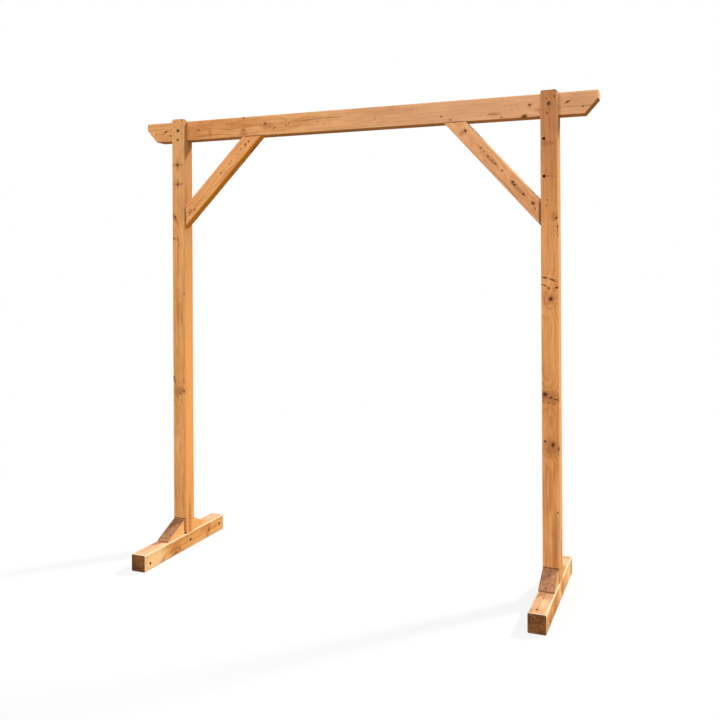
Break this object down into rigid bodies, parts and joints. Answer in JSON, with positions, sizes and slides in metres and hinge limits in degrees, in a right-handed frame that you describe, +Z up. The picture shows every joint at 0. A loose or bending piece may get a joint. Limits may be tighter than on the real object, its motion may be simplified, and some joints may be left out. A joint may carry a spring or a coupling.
{
  "type": "freestanding wooden arch",
  "caption": "Freestanding timber arch with posts on rail feet, a crossbeam with sloping ends, corner braces and wedge blocks.",
  "frame": {"origin": "on the ground, midway between the posts and at half the length of the feet", "axes": "+X along the crossbeam towards the right post, +Y from the front to the back, +Z up"},
  "size_m": [2.3, 0.71, 2.21],
  "materials": {
    "planed_timber": "honey-brown stain on planed softwood",
    "sawn_timber": "honey-brown stain on sawn softwood",
    "zinc_steel": "dull zinc plate, browned by wet wood"
  },
  "bodies": {
    "root": {"crossbeam": "planed_timber", "left_post": "planed_timber", "right_post": "planed_timber", "left_brace": "planed_timber", "right_brace": "planed_timber", "left_foot": "planed_timber", "right_foot": "planed_timber", "left_front_wedge": "sawn_timber", "right_front_wedge": "sawn_timber", "left_rear_wedge": "sawn_timber", "right_rear_wedge": "sawn_timber", "left_beam_bolt": "zinc_steel", "right_beam_bolt": "zinc_steel", "left_beam_nut": "zinc_steel", "right_beam_nut": "zinc_steel", "left_foot_bolt": "zinc_steel", "right_foot_bolt": "zinc_steel", "left_foot_nut": "zinc_steel", "right_foot_nut": "zinc_steel"}
  },
  "joints": []
}
